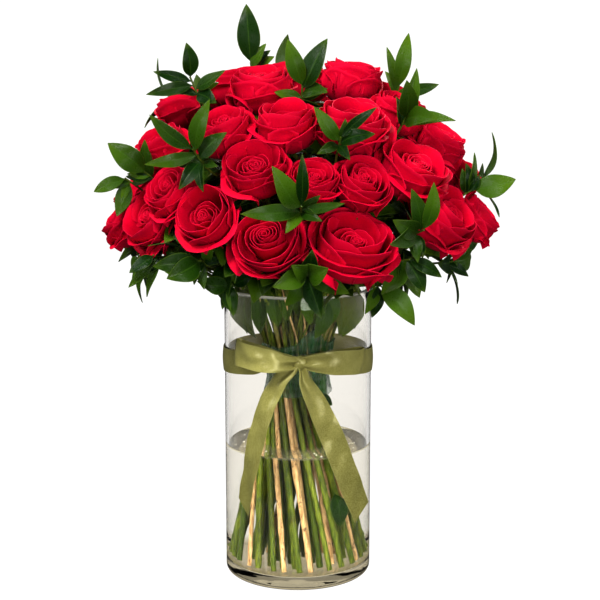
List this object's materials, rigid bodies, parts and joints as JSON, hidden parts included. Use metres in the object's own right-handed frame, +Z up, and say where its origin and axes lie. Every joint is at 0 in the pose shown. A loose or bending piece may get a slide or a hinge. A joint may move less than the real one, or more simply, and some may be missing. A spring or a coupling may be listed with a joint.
{
  "type": "red roses in a glass vase",
  "caption": "Dome of red roses and leafy sprigs in a clear cylinder vase of water, their stems wrapped in green film, and a satin ribbon tied in a bow round the glass.",
  "frame": {"origin": "centre of the vase's foot, on the surface that it stands on", "axes": "+Z up along the vase's axis; -Y towards the viewer, on the side of the bow; +X to the viewer's right"},
  "size_m": [0.4338, 0.4352, 0.5867],
  "materials": {
    "glass": "clear, polished",
    "water": "clear, wet",
    "greenery": "waxy, satin",
    "tape": "stretched film, glossy",
    "ribbon": "satin",
    "petals": "velvety, soft sheen"
  },
  "bodies": {
    "root": {"vase": "glass", "water": "water", "stems_and_greenery": "greenery", "binding_tape": "tape", "ribbon": "ribbon", "rose_01": "petals", "rose_02": "petals", "rose_03": "petals", "rose_04": "petals", "rose_05": "petals", "rose_06": "petals", "rose_07": "petals", "rose_08": "petals", "rose_09": "petals", "rose_10": "petals", "rose_11": "petals", "rose_12": "petals", "rose_13": "petals", "rose_14": "petals", "rose_15": "petals", "rose_16": "petals", "rose_17": "petals", "rose_18": "petals", "rose_19": "petals", "rose_20": "petals", "rose_21": "petals", "rose_22": "petals", "rose_23": "petals", "rose_24": "petals", "rose_25": "petals", "rose_26": "petals", "rose_27": "petals", "rose_28": "petals", "rose_29": "petals", "rose_30": "petals", "rose_31": "petals", "rose_32": "petals", "rose_33": "petals", "rose_34": "petals", "rose_35": "petals", "rose_36": "petals", "rose_37": "petals", "rose_38": "petals", "rose_39": "petals", "rose_40": "petals", "rose_41": "petals", "rose_42": "petals", "rose_43": "petals", "rose_44": "petals"}
  },
  "joints": []
}
